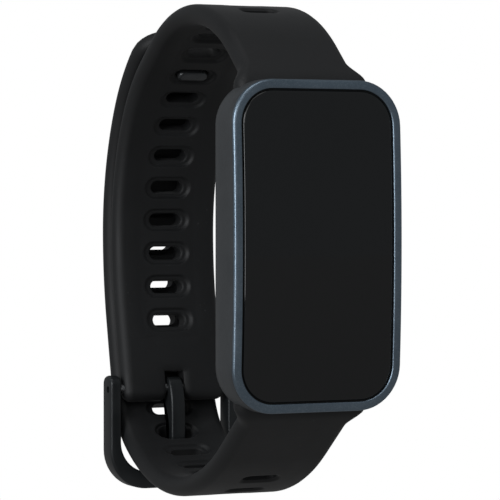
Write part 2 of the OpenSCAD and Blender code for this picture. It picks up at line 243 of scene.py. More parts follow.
def makeFinish(name, look):
    # one finish: two tones mixed by the patch mask, then flakes, dust and worn edges over them
    material = bpy.data.materials.new(name)
    material.use_nodes = True
    tree = material.node_tree
    shader = tree.nodes["Principled BSDF"]
    grain = useGroup(tree, grainGroup, {"Scale": look["grain"],
                                        "Patch Scale": look["patch"]})
    colour = mixColour(tree, grain.outputs["Patch"], look["tone"], look["tone2"])
    if "flake" in look:
        flakes = useGroup(tree, flakeGroup, {"Scale": look["flake"]})
        lift = mapRange(tree, flakes.outputs["Flake"], 0.55, 1.0, look["flakeAmount"])
        colour = mixColour(tree, lift, colour, look["flakeTone"])
    if "dust" in look:
        dust = useGroup(tree, dustGroup, {"Amount": look["dust"]})
        colour = mixColour(tree, dust.outputs["Mask"], colour, dustTone)
    if "wear" in look:
        wear = useGroup(tree, wearGroup, {"Amount": look["wear"]})
        colour = mixColour(tree, wear.outputs["Mask"], colour, look["wearTone"])
    tree.links.new(colour, shader.inputs["Base Color"])
    rough = addNode(tree, "ShaderNodeMapRange",
                    {"Value": grain.outputs["Patch"], "To Min": look["rough"][0],
                     "To Max": look["rough"][1]})
    tree.links.new(rough.outputs["Result"], shader.inputs["Roughness"])
    bump = addNode(tree, "ShaderNodeBump",
                   {"Strength": look["bump"], "Distance": look["rise"],
                    "Height": grain.outputs["Height"]})
    tree.links.new(bump.outputs["Normal"], shader.inputs["Normal"])
    shader.inputs["Sheen Roughness"].default_value = 0.4
    for title, key in (("Metallic", "metal"), ("Specular IOR Level", "specular"),
                       ("Sheen Weight", "sheen"), ("Coat Weight", "coat"),
                       ("Coat Roughness", "coatRough")):
        shader.inputs[title].default_value = look[key]
    return material


dustTone = (0.16, 0.165, 0.17)


def lookOf(tone, tone2, rough, grain, bump, **more):
    # two tones, the roughness range, the grain's scale and its bump's strength, then whatever
    # differs from a plain dielectric: metal, flake, wear, dust, coat and so on
    plainLook = {"patch": 120.0, "rise": 4e-5, "metal": 0.0, "specular": 0.5, "sheen": 0.0,
                 "coat": 0.0, "coatRough": 0.1}
    return {"tone": tone, "tone2": tone2, "rough": rough, "grain": float(grain), "bump": bump,
            **plainLook, **more}


finishLooks = {
    "silicone": lookOf((0.0105, 0.011, 0.0118), (0.013, 0.0136, 0.0146), (0.5, 0.6), 9000, 0.25,
        patch=90, rise=3e-5, specular=0.42, sheen=0.06, dust=0.18),
    "ringMetal": lookOf((0.2, 0.262, 0.325), (0.235, 0.303, 0.37), (0.3, 0.38), 14000, 0.3,
        metal=1.0, patch=200, rise=2e-5, flake=8000, flakeAmount=0.5, flakeTone=(0.34, 0.42, 0.5),
        wear=0.35, wearTone=(0.5, 0.56, 0.62)),
    "casePaint": lookOf((0.06, 0.065, 0.07), (0.072, 0.077, 0.082), (0.36, 0.44), 12000, 0.25,
        metal=0.35, patch=160, rise=2e-5, flake=11000, flakeAmount=0.25,
        flakeTone=(0.12, 0.13, 0.14), dust=0.12),
    "darkGlass": lookOf((0.004, 0.0046, 0.0052), (0.0048, 0.0054, 0.006), (0.035, 0.055), 4000,
        0.01, patch=60, rise=1e-5, specular=0.55, coat=0.3, coatRough=0.03),
    "gasketRubber": lookOf((0.002, 0.0022, 0.0022), (0.003, 0.0032, 0.0032), (0.55, 0.7), 8000, 0.2,
        specular=0.25),
    "buckleMetal": lookOf((0.02, 0.0225, 0.0245), (0.026, 0.029, 0.031), (0.3, 0.4), 10000, 0.25,
        metal=0.4, patch=220, rise=2e-5, wear=0.4, wearTone=(0.12, 0.13, 0.135), coat=0.15,
        coatRough=0.25),
    "springSteel": lookOf((0.36, 0.37, 0.38), (0.44, 0.45, 0.46), (0.24, 0.36), 9000, 0.15,
        metal=1.0, patch=300, rise=2e-5, wear=0.3, wearTone=(0.6, 0.6, 0.6)),
    "studMetal": lookOf((0.085, 0.09, 0.095), (0.11, 0.115, 0.12), (0.26, 0.36), 9000, 0.15,
        metal=0.8, patch=400, wear=0.3, wearTone=(0.3, 0.3, 0.3)),
    "rearPlastic": lookOf((0.01, 0.0105, 0.011), (0.0125, 0.013, 0.0135), (0.22, 0.3), 6000, 0.08,
        patch=70, coat=0.4, coatRough=0.12, dust=0.12),
    "sensorGlass": lookOf((0.006, 0.005, 0.008), (0.008, 0.007, 0.01), (0.04, 0.07), 4000, 0.01,
        coat=0.5, coatRough=0.03),
    "contactGold": lookOf((0.72, 0.5, 0.22), (0.8, 0.58, 0.28), (0.22, 0.34), 12000, 0.15,
        metal=1.0, wear=0.3, wearTone=(0.85, 0.7, 0.45)),
    "magnetSteel": lookOf((0.3, 0.3, 0.31), (0.36, 0.36, 0.37), (0.35, 0.5), 7000, 0.2, metal=1.0),
    "circuitBoard": lookOf((0.01, 0.06, 0.028), (0.014, 0.082, 0.038), (0.3, 0.45), 5000, 0.3,
        patch=700, coat=0.3),
    "lampLens": lookOf((0.1, 0.55, 0.22), (0.16, 0.66, 0.3), (0.2, 0.3), 5000, 0.1, patch=900),
    "batteryFoil": lookOf((0.4, 0.42, 0.43), (0.5, 0.52, 0.53), (0.3, 0.48), 1800, 0.35, metal=0.8,
        patch=260, rise=6e-5),
    "stampedSteel": lookOf((0.46, 0.47, 0.48), (0.54, 0.55, 0.56), (0.28, 0.4), 6000, 0.2,
        metal=1.0, patch=350),
    "chipResin": lookOf((0.012, 0.012, 0.013), (0.018, 0.018, 0.019), (0.42, 0.55), 9000, 0.3),
    "frameMagnesium": lookOf((0.12, 0.12, 0.125), (0.16, 0.16, 0.165), (0.4, 0.55), 5000, 0.35,
        metal=0.7),
    "motorWeight": lookOf((0.26, 0.24, 0.2), (0.33, 0.3, 0.25), (0.35, 0.5), 7000, 0.25, metal=1.0),
    "switchPlastic": lookOf((0.55, 0.53, 0.48), (0.62, 0.6, 0.55), (0.35, 0.5), 6000, 0.15),
    "panelBlack": lookOf((0.004, 0.004, 0.006), (0.006, 0.006, 0.009), (0.1, 0.16), 6000, 0.05),
}
finishes = {name: makeFinish(name, look) for name, look in finishLooks.items()}
print("finishes made:", len(finishes))

nodeFinish = {
    "case_shell": "casePaint", "glass_gasket": "gasketRubber", "display_panel": "panelBlack",
    "display_backplate": "stampedSteel", "inner_frame": "frameMagnesium",
    "battery": "batteryFoil", "main_board": "circuitBoard", "shield_can": "stampedSteel",
    "processor_chip": "chipResin", "motor_can": "stampedSteel", "motor_weight": "motorWeight",
    "button_seal": "gasketRubber", "button_switch": "switchPlastic",
    "rear_cover": "rearPlastic", "rear_gasket": "gasketRubber", "sensor_window": "sensorGlass",
    "sensor_board": "circuitBoard", "sensor_lamps": "lampLens",
    "charging_pins": "contactGold", "charging_magnets": "magnetSteel",
}
# the CAD nodes that stay as they are; the bars and springs all take the steel
for nodeName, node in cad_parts.items():
    chosen = finishes[nodeFinish.get(nodeName, "springSteel")]
    if not node.data.materials:
        node.data.materials.append(chosen)
    for slotIndex in range(len(node.data.materials)):
        node.data.materials[slotIndex] = chosen
print("CAD nodes finished:", len(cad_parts))


# ---- the straps' side view ----

strap = {
    "halfWidth": 8.0, "rootHalf": 9.6, "thick": 2.8, "tabThick": 3.4, "edge": 1.4, "gap": 0.5,
    "tipCorner": 4.4,
    "start": (-5.0, 21.7), "tabZ": 15.6, "rootBend": 3.8, "upHead": 41.0,
    # how far from the case the wider and the thicker root end
    "rootWide": (0.5, 4.4), "rootThick": (-3.5, 1.5),
    # straight (0) or arc (1), length or radius, heading at its end
    "upRun": [(0, 8, 41), (1, 23.5, 0), (1, 21, -36), (0, 4.5, -36), (1, 23.5, -62),
              (1, 36, -90), (1, 60, -102), (0, 10.6, -102)],
    "lowHead": 38.0, "lowTurn": -32.0, "lowR": (30.0, 27.0, 13.0),
}


def outward(h):
    # the direction out of the loop at heading h, as (y, z)
    h = np.radians(h)
    return np.stack([-np.sin(h), np.cos(h)], -1)


def forward(h):
    # the direction along the strap at heading h, as (y, z)
    h = np.radians(h)
    return np.stack([np.cos(h), np.sin(h)], -1)


def followRun(run, start, heading, s):
    # on a straight the point moves by length x forward; on an arc it is the start plus
    # radius x (outward now - outward at the start), and the heading drops by length / radius.
    # It gives the points and headings at distances s, then the run's whole length and its end
    s = np.asarray(s, float)
    point, done, h0 = np.array(start, float), 0.0, heading
    points, heads = np.zeros(s.shape + (2,)), np.zeros(s.shape)
    for index, (kind, size, h1) in enumerate(run):
        here = s - done
        inside = s >= done if index else np.ones(s.shape, bool)
        if kind == 0:
            h, length = np.full(s.shape, float(h0)), size
            p, end = point + here[..., None] * forward(h0), point + size * forward(h0)
        else:
            h, length = h0 - np.degrees(here / size), size * math.radians(h0 - h1)
            p = point + size * (outward(h) - outward(h0))
            end = point + size * (outward(h1) - outward(h0))
        points = np.where(inside[..., None], p, points)
        heads = np.where(inside, h, heads)
        point, done, h0 = end, done + length, h1
    return points, heads, done, point


def withRoot(run, heading):
    # leads the run out of the case's pocket: straight up, then an arc onto the first straight;
    # shift is what this adds to distances measured from the run's own start
    r = strap["rootBend"]
    step = r * (outward(heading) - outward(90))
    used = step[0] / forward(heading)[0]
    straight = strap["start"][1] + used * forward(heading)[1] - step[1] - strap["tabZ"]
    shift = straight + r * math.radians(90 - heading) - used
    full = [(0, straight, 90), (1, r, heading), (0, run[0][1] - used, heading)] + run[1:]
    return full, shift


upRun, upShift = withRoot(strap["upRun"], strap["upHead"])
upStart = (strap["start"][0], strap["tabZ"])
_, _, upLength, upEnd = followRun(upRun, upStart, 90, np.zeros(1))
endHead = strap["upRun"][-1][2]
pivot = upEnd - strap["thick"] / 2 * outward(endHead)

# the lower strap's two straight stretches take the lengths that bring it beside the upper one
joinHead = -180 - endHead
joinPoint = upEnd + (strap["gap"] + strap["thick"]) * outward(endHead)
lowR1, lowR2, lowR3 = strap["lowR"]
goal = (np.array([joinPoint[0], -joinPoint[1]]) - strap["start"]
        - lowR1 * (outward(0) - outward(strap["lowHead"]))
        - lowR2 * (outward(strap["lowTurn"]) - outward(0))
        - lowR3 * (outward(joinHead) - outward(strap["lowTurn"])))
lowLengths = np.linalg.solve(
    np.stack([forward(strap["lowHead"]), forward(strap["lowTurn"])], 1), goal)
lowRun, lowShift = withRoot(
    [(0, lowLengths[0], strap["lowHead"]), (1, lowR1, 0), (1, lowR2, strap["lowTurn"]),
     (0, lowLengths[1], strap["lowTurn"]), (1, lowR3, joinHead)], strap["lowHead"])
_, _, lowLength, _ = followRun(lowRun, upStart, 90, np.zeros(1))


def upperPlace(s, x, off):
    # the upper strap's surface: the run's point moved off along its outward direction
    p, h, _, _ = followRun(upRun, upStart, 90, s)
    q = p + off[..., None] * outward(h)
    return np.stack([x, q[..., 0], q[..., 1]], -1)


def lowerPlace(s, x, off):
    # the lower run with Z turned over, then back along the upper run on its outside
    p, h, _, _ = followRun(lowRun, upStart, 90, np.minimum(s, lowLength))
    a = (p + off[..., None] * outward(h)) * [1, -1]
    p, h, _, _ = followRun(upRun, upStart, 90, upLength - np.maximum(s - lowLength, 0))
    b = p + (off + strap["gap"] + strap["thick"])[..., None] * outward(h)
    q = np.where((s <= lowLength)[..., None], a, b)
    return np.stack([x, q[..., 0], q[..., 1]], -1)


# ---- strap meshes ----
# A strap is two faces, each a sheet of (distance along, distance across) with a hole at each
# slot, joined by half-round edges, hole walls and closed ends.

halfSamples = np.array([0.6, 1.2, 1.8, 2.4, 3.0, 3.6, 4.3, 4.75, 5.3, 5.75, 6.15, 6.45, 6.6])
acrossSamples = join([-halfSamples[::-1], [0.0], halfSamples])
flatHalf = halfSamples[-1]
sideSteps = 8
bandReach = 1.6   # reach, from 0 at a slot's edge, where its rings end and its cell goes on
farReach = 9.0   # reach of points that are in no slot's cell

# a slot's cell: angle where its long and short sides meet, free rim to the cell's edge, offset
# of the last ring, how much the rings spread along the slot, and where the sunk band's side is
cell = {"corner": 48, "clear": 0.12, "lastRing": 1.35, "spread": 0.26, "bandSides": (4.3, 4.75),
        "bandEnds": (0.955, 0.975)}
# depths below a face: the inner rim with its soft edges, the outer rim, the band's half width,
# corner radius and soft edge, and the rounding beside the notch
relief = {"rim": 0.42, "rimSoft": (0.42, 0.85), "lip": 0.16, "lipSoft": 0.2,
          "outer": 0.30, "outerSoft": 0.5, "bandHalf": 4.55, "bandCorner": 2.2,
          "bandSoft": (-0.22, 0.2), "notch": 0.34, "notchSoft": (-0.05, 0.62)}


def pillRing(centre, halfLength, radius, pitch):
    # rings round one slot: the slot's own outline offset outwards step by step, then the edges
    # of the sunk band down the strap, and last the rectangle that the slot's cell fills
    nx = len(acrossSamples) - 1
    sides = np.linspace(-1, 1, sideSteps + 1)
    rectX = join([acrossSamples[:-1], np.full(sideSteps, flatHalf),
                  acrossSamples[:0:-1], np.full(sideSteps, -flatHalf)])
    rectS = join([np.full(nx, -1.0), sides[:-1], np.full(nx, 1.0), sides[:0:-1]])
    rectS = rectS * pitch / 2
    core = halfLength - radius
    t = rectX / flatHalf
    onLine = np.abs(np.abs(rectS) - pitch / 2) < 1e-9
    corner = math.radians(cell["corner"])
    # along the two long sides the outline runs straight, then turns to the corner angle
    straight = np.clip(t / 0.5, -1, 1) * core
    turn = np.clip((np.abs(t) - 0.5) / 0.5, 0, 1) * corner
    angle = np.where(onLine, turn, np.pi / 2 - (np.pi / 2 - corner)
                     * np.abs(rectS) / (pitch / 2))
    coreX = np.where(onLine, straight, np.sign(rectX) * core)
    dirX, dirS = np.sign(rectX) * np.sin(angle), np.sign(rectS) * np.cos(angle)
    room = min(1.0, (pitch / 2 - radius - cell["clear"]) / cell["lastRing"])
    steps = np.array([0, 0.05, 0.12, 0.22, 0.34, 0.46, 0.58, 0.68, 0.78, 0.9, 1.05, 1.25]) * room
    spread = 1 + cell["spread"] * np.clip(steps / room / 0.8, 0, 1)
    ringX = coreX * spread[:, None] + (radius + steps)[:, None] * dirX
    ringS = (radius + steps)[:, None] * dirS
    bandX = np.stack([np.clip(rectX, -side, side) for side in cell["bandSides"]] + [rectX])
    bandS = np.stack([rectS * share for share in cell["bandEnds"]] + [rectS])
    x = join([ringX, bandX])
    s = join([ringS, bandS]) + centre
    reach = join([steps / room, [bandReach, 1.8, 2.0]])
    return s, x, np.repeat(reach[:, None], x.shape[1], 1)


def strapMesh(name, place, spec):
    # spec gives the cells [(centre, half length, radius, pitch, outer face's shift)], the end of
    # the flat face, the kind of end and the sunk band's range. A point is (along, across, off)
    # until it is placed, and across stands for the flat width however wide the strap is there
    thick, edge = strap["thick"], strap["edge"]
    across = acrossSamples
    points, faces, sideS = [], [], []
    count = 0

    def widthAt(s):
        root = 1 - smoothStep(*strap["rootWide"], s - spec["shift"])
        return strap["halfWidth"] + (strap["rootHalf"] - strap["halfWidth"]) * root

    def thickAt(s):
        root = 1 - smoothStep(*strap["rootThick"], s - spec["shift"])
        return thick + (strap["tabThick"] - thick) * root

    def channelDepth(s, x):
        # a rounded rectangle's signed distance, so the sunk band ends in a soft U
        lo, hi = spec["band"]
        mid, half = (lo + hi) / 2, (hi - lo) / 2
        r = relief["bandCorner"]
        qx, qs = np.abs(x) - relief["bandHalf"] + r, np.abs(s - mid) - half + r
        away = (np.hypot(np.maximum(qx, 0), np.maximum(qs, 0))
                + np.minimum(np.maximum(qx, qs), 0) - r)
        return spec["bandDepth"] * (1 - smoothStep(*relief["bandSoft"], away))

    def notchSoft(s, x):
        # the faces drop a little beside the notch, so that its edges look rounded
        if spec["end"] != "notch":
            return np.zeros(np.shape(s))
        away = np.maximum(np.abs(x) - spec["notchHalf"], spec["flatEnd"] - spec["notchDeep"] - s)
        return relief["notch"] * (1 - smoothStep(*relief["notchSoft"], away))

    def faceDepth(s, x, reach, inner):
        if inner:
            sunk = (relief["rim"] * (1 - smoothStep(*relief["rimSoft"], reach))
                    + relief["lip"] * (1 - smoothStep(0, relief["lipSoft"], reach)))
            return sunk + channelDepth(s, x) + notchSoft(s, x)
        outer = relief["outer"] * (1 - smoothStep(0, relief["outerSoft"], reach)) ** 2
        return outer + notchSoft(s, x)

    def add(s, x, off, newFaces):
        # keeps points and faces; past the flat width, x goes on at its true size
        nonlocal count
        s, x, off = (np.broadcast_to(v, np.shape(s)).ravel() for v in (s, x, off))
        flat = widthAt(s) - edge
        over = np.abs(x) > flatHalf + 1e-9
        wide = np.where(over, np.sign(x) * (flat + np.abs(x) - flatHalf), x * flat / flatHalf)
        points.append(place(s, wide, off))
        faces.extend(newFaces)
        count += len(s)

    def sheet(s, x, reach=None, wrap=False, keep=None, slant=0.0):
        # the same grid on the outer and the inner face; keep picks the columns that get faces
        rows, cols = s.shape
        reach = np.full(s.shape, farReach) if reach is None else reach
        flat = s
        for inner in (False, True):
            s = flat if inner else flat - slant * np.clip(1 - reach / bandReach, 0, 1)
            depth = faceDepth(s, x, reach, inner)
            off = depth - thickAt(s) if inner else -depth
            quads = gridFaces(rows, cols, wrapCols=wrap, first=count)
            if keep is not None:
                quads = [q for q, k in zip(quads, np.tile(keep, rows - 1)) if k]
            add(s, x, off, quads)

    def holeWall(s, x, slant):
        # from a slot's edge on the outer face to its edge on the inner one
        top = faceDepth(s - slant, x, np.zeros_like(s), False)
        low = faceDepth(s, x, np.zeros_like(s), True)
        v = np.linspace(0, 1, 5)[:, None]
        off = -top * (1 - v) + (low - thickAt(s)) * v
        add(s - slant * (1 - v), np.tile(x, (5, 1)), off,
            gridFaces(5, len(s), wrapCols=True, first=count))

    def plain(a, b, morph=None):
        # the stretch from a to b, its columns easing to the places in morph
        rows = max(2, int(math.ceil((b - a) / 0.55)) + 1)
        v = np.linspace(0, 1, rows)
        s = np.tile((a + (b - a) * v)[:, None], (1, len(across)))
        x = np.tile(across, (rows, 1))
        if morph is not None:
            x = x * (1 - v[:, None]) + morph * v[:, None]
        sheet(s, x)
        sideS.append(s[:, 0])

    # faces from the root to the last cell
    here = 0.0
    for centre, halfLength, radius, pitch, slant in spec["cells"]:
        if centre - pitch / 2 > here + 0.02:
            plain(here, centre - pitch / 2)
        s, x, reach = pillRing(centre, halfLength, radius, pitch)
        sheet(s, x, reach, wrap=True, slant=slant)
        holeWall(s[0], x[0], slant)
        sideS.append(centre + np.linspace(-1, 1, sideSteps + 1) * pitch / 2)
        here = centre + pitch / 2

    phi = np.linspace(0, np.pi, 15)

    def edgeStrip(s, x, normalS, normalX):
        # half-round edge: out by radius x sin, through the thickness by half of it x cos
        t = thickAt(s)[:, None] / 2
        soft = notchSoft(s, x)[:, None]
        add(s[:, None] + (edge - soft) * np.sin(phi) * normalS[:, None],
            x[:, None] + (edge - soft) * np.sin(phi) * normalX[:, None],
            -t + (t - soft) * np.cos(phi), gridFaces(len(s), len(phi), first=count))

    if spec["end"] == "tip":
        # the free end's round corners, less the edge's own rounding
        flatEnd, cornerR = spec["flatEnd"], strap["tipCorner"] - edge
        past = np.maximum(np.abs(across) - (flatHalf - cornerR), 0)
        tipS = flatEnd - cornerR + np.sqrt(np.maximum(cornerR ** 2 - past ** 2, 0))
        plain(here, flatEnd - cornerR - 0.5)
        here = flatEnd - cornerR - 0.5
        v = np.linspace(0, 1, 9)[:, None]
        s = here + (tipS - here) * v
        sheet(s, np.tile(across, (9, 1)))
        sideS.append(s[:, 0])
        normalX = np.sign(across) * past / cornerR
        edgeStrip(tipS, across, np.sqrt(1 - normalX ** 2), normalX)
    else:
        # the buckle end: a half-round end split by the notch for the tongue
        flatEnd, notch, deep = spec["flatEnd"], spec["notchHalf"], spec["notchDeep"]
        k = 3   # columns each side of the middle that are moved to the notch's width
        mid, beside = len(halfSamples), halfSamples[k - 1]
        outside = notch + (np.abs(across) - beside) * (flatHalf - notch) / (flatHalf - beside)
        target = np.where(np.abs(across) <= beside + 1e-9, across * notch / beside,
                          np.sign(across) * outside)
        plain(here, flatEnd - deep, morph=target)
        rows = 9
        v = np.linspace(0, 1, rows)[:, None]
        s = np.tile(flatEnd - deep * (1 - v), (1, len(across)))
        x = np.tile(target, (rows, 1))
        keep = np.ones(len(across) - 1, bool)
        keep[mid - k:mid + k] = False
        sheet(s, x, keep=keep)
        sideS.append(s[:, 0])
        # bottom of the notch
        base = target[mid - k:mid + k + 1]
        lift = np.linspace(0, 1, 5)[:, None]
        at = np.full((5, len(base)), flatEnd - deep)
        soft = notchSoft(at, np.tile(base, (5, 1)))
        add(at, np.tile(base, (5, 1)), -soft - (thick - 2 * soft) * lift,
            gridFaces(5, len(base), first=count))
        for side in (-1, 1):
            # round end of the lobe beside the notch, turning a quarter at the notch's corner
            lobe = target[:mid - k + 1] if side < 0 else target[:mid + k - 1:-1]
            fan = np.linspace(0, np.pi / 2, 7)
            ex = join([np.full(7, lobe[0]), lobe[1:]])
            nx = join([side * np.cos(fan), np.zeros(len(lobe) - 1)])
            ns = join([np.sin(fan), np.ones(len(lobe) - 1)])
            edgeStrip(np.full(len(ex), flatEnd), ex, ns, nx)
            # wall of the notch
            walk = flatEnd - deep * (1 - v[:, 0])
            soft = float(notchSoft(np.array([flatEnd]), np.array([notch]))[0])
            ws = join([walk, flatEnd + (edge - soft) * np.sin(phi[1:-1]), walk[::-1]])
            wo = join([np.full(rows, -soft),
                       -thick / 2 + (thick / 2 - soft) * np.cos(phi[1:-1]),
                       np.full(rows, soft - thick)])
            add(ws, np.full(len(ws), side * notch), wo,
                [list(range(count, count + len(ws)))])

    along = np.unique(np.round(join(sideS), 6))
    for side in (-1.0, 1.0):
        edgeStrip(along, np.full(len(along), side * flatHalf), np.zeros(len(along)),
                  np.full(len(along), side))
    # closed root, inside the case's pocket
    t = float(thickAt(np.zeros(1))[0])
    px = join([across, flatHalf + edge * np.sin(phi[1:-1]), across[::-1],
               -flatHalf - edge * np.sin(phi[1:-1])])
    po = join([np.zeros(len(across)), -t / 2 + t / 2 * np.cos(phi[1:-1]),
               np.full(len(across), -t), -t / 2 - t / 2 * np.cos(phi[1:-1])])
    add(np.zeros(len(px)), px, po, [list(range(count, count + len(px)))])
    return meshPiece(name, join(points), faces, 42)


# distances are from the case, along the outer face of the upper and the lower strap; the free
# end's are along the upper strap that it lies on
slots = {"halfLength": 2.5, "radius": 1.0, "upFirst": 17.8, "upPitch": 5.1, "upCount": 14,
         "lowPitch": 5.25, "tongueAt": 49.0, "tongueIndex": 6, "lowCount": 8,
         "tongueSlot": (2.6, 1.6), "tongueSlant": 1.0,
         "tailFirst": 61.3, "tailPitch": 5.5, "tailCount": 6, "studAt": 43.3,
         # the tip's place past the start of the upper strap's second straight stretch
         "tipPast": 1.4}


def slotCell(at, pitch):
    return (at, slots["halfLength"], slots["radius"], pitch, 0.0)


upperSpec = {"cells": [slotCell(upShift + slots["upFirst"] + slots["upPitch"] * i,
                                slots["upPitch"]) for i in range(slots["upCount"])],
             "shift": upShift, "end": "notch", "flatEnd": upLength + 0.5,
             "notchHalf": 1.5, "notchDeep": 2.9,
             "band": (upShift + 12.5, upShift + 87.3), "bandDepth": 0.10}
upperStrap = strapMesh("upperStrapBody", upperPlace, upperSpec)
placePiece(upperStrap, "band", "upper_strap", "silicone")
print("upper strap:", len(upperStrap.data.polygons), "faces")

tongueCell = lowShift + slots["tongueAt"]
lowerSlots = [slotCell(tongueCell + slots["lowPitch"] * (i - slots["tongueIndex"]),
                       slots["lowPitch"]) for i in range(slots["lowCount"])]
# the tongue goes through a slot that it pulls open, aslant
lowerSlots[slots["tongueIndex"]] = (tongueCell, *slots["tongueSlot"], slots["lowPitch"],
                                    slots["tongueSlant"])
# a place on the free end, from its distance from the case along the upper strap
tailFrom = lowLength + upLength - upShift
tailSlots = [slotCell(tailFrom - slots["tailFirst"] - slots["tailPitch"] * i, slots["tailPitch"])
             for i in reversed(range(slots["tailCount"]))]
(_, first, _), (_, r1, h1), (_, r2, h2) = strap["upRun"][:3]
secondStraight = first + r1 * math.radians(strap["upHead"] - h1) + r2 * math.radians(h1 - h2)
lowerSpec = {"cells": lowerSlots + tailSlots, "shift": lowShift, "end": "tip",
             "flatEnd": tailFrom - secondStraight - slots["tipPast"] - strap["edge"],
             "band": (lowShift + 10.0, lowShift + 54.8), "bandDepth": 0.08}
lowerStrap = strapMesh("lowerStrapBody", lowerPlace, lowerSpec)
placePiece(lowerStrap, "band", "lower_strap", "silicone")
print("lower strap:", len(lowerStrap.data.polygons), "faces")


# ---- ring, glass and case shell ----

case = {"width": 24.4, "height": 43.3, "corner": 5.9, "front": -9.0, "curve": 280.0,
        "ringBack": -7.1, "roundFrom": -4.6, "roundIn": 2.8,
        "pocketHalf": 9.75, "pocketFront": -5.3, "pocketZ": 15.2,
        # width, height and corner radius, then from which depth to which
        "cavity": (22.0, 29.0, 4.0, -8.0, -1.5), "rearOpening": (20.6, 28.0, 4.4, -2.0, 1.0),
        "buttonAt": (0, -4.8, 4.0), "glassIn": 1.45, "glassThick": 0.9}


cornerSigns = [(1, 1), (-1, 1), (-1, -1), (1, -1)]


def rectPath(width, height, corner, perCorner=14, perSide=26, perEnd=12):
    # a rounded rectangle as points and outward normals: quarter circles joined by straights
    a = np.linspace(0, np.pi / 2, perCorner)
    points, normals = [], []
    for turn, (sx, sz) in enumerate(cornerSigns):
        angle = a + turn * np.pi / 2
        n = np.stack([np.cos(angle), np.sin(angle)], -1)
        c = np.array([sx * (width / 2 - corner), sz * (height / 2 - corner)])
        points.append(c + corner * n)
        normals.append(n)
        nxt = cornerSigns[(turn + 1) % 4]
        d = np.array([nxt[0] * (width / 2 - corner), nxt[1] * (height / 2 - corner)])
        steps = perEnd if turn % 2 == 0 else perSide
        v = np.linspace(0, 1, steps + 2)[1:-1, None]
        points.append((c + corner * n[-1]) * (1 - v) + (d + corner * n[-1]) * v)
        normals.append(np.tile(n[-1], (steps, 1)))
    return join(points), join(normals)


casePath, caseNormal = rectPath(case["width"], case["height"], case["corner"])


def frontAt(z, depth):
    # the curved front: a circle's sagitta behind its middle, plus a depth
    r = case["curve"]
    return case["front"] + r - np.sqrt(r * r - z * z) + depth


def ringAt(inset, depth, back=None):
    # the case outline moved in by inset and laid on the front curve, or at a flat depth
    p = casePath - inset * caseNormal
    y = frontAt(p[:, 1], depth) if back is None else np.full(len(p), back)
    return np.stack([p[:, 0], y, p[:, 1]], -1)


# from behind the outer side, round the front face, to the inner side: (inset, depth) pairs
ringProfile = [(0.16, 0.66), (0.14, 0.56), (0.02, 0.50), (0.0, 0.42), (0.02, 0.30), (0.08, 0.18),
               (0.17, 0.085), (0.29, 0.03), (0.45, 0.0), (1.0, 0.0), (1.11, 0.02), (1.19, 0.07),
               (1.24, 0.15), (1.25, 0.28), (1.25, 0.6)]
ringLoops = ([ringAt(0.16, 0, case["ringBack"])] + [ringAt(a, b) for a, b in ringProfile]
             + [ringAt(1.25, 0, case["ringBack"])])
bezelRing = loftRings("caseRing", ringLoops, wrapRings=True, sharpAngle=50)
placePiece(bezelRing, "band", "bezel_ring", "ringMetal")

# pairs of inset from the outline and depth behind the front curve, as in the ring's profile
glassProfile = [(1.45, 0.9), (1.45, 0.42), (1.46, 0.27), (1.50, 0.16), (1.57, 0.095), (1.68, 0.06),
                (1.95, 0.042), (2.5, 0.03), (3.2, 0.022)]
glassLoops = [ringAt(a, b) for a, b in glassProfile]


def shrunkLoops(inset, shares, depth):
    # the outline moved in, then scaled towards the middle step by step
    loops = []
    for share in shares:
        q = (casePath - inset * caseNormal) * share
        loops.append(np.stack([q[:, 0], frontAt(q[:, 1], depth), q[:, 1]], -1))
    return loops


backLoops = shrunkLoops(case["glassIn"], np.linspace(0.04, 0.96, 10), case["glassThick"])
glassLoops += shrunkLoops(3.2, np.linspace(0.92, 0.04, 12), 0.02)
coverGlass = loftRings("coverGlassBody", backLoops + glassLoops, sharpAngle=60)
placePiece(coverGlass, "band", "cover_glass", "darkGlass")
print("ring and glass made")


def blockMesh(name, outline, y0, y1):
    # a flat outline given as (x, z), carried from one depth to another
    rings = [np.stack([outline[:, 0], np.full(len(outline), y), outline[:, 1]], -1)
             for y in (y0, y1)]
    return loftRings(name, rings)


def pillSolid(name, centre, long, wide, out, halfLength, radius, profile):
    # a pill's outline repeated at (inset, height) steps from the base to a softly domed top
    perEnd = 17
    a = join([np.linspace(-np.pi / 2, np.pi / 2, perEnd),
              np.linspace(np.pi / 2, 1.5 * np.pi, perEnd)])
    side = np.repeat([1.0, -1.0], perEnd)
    core = halfLength - radius
    rings = []
    for inset, height in profile:
        r = radius - inset
        u = side * core + r * np.cos(a)
        v = r * np.sin(a)
        rings.append(centre + u[:, None] * long + v[:, None] * wide + height * out)
    return loftRings(name, rings, sharpAngle=45)


buttonAxes = np.array([(0, 0, 1.0), (0, 1.0, 0), (1.0, 0, 0)])   # long, wide and out


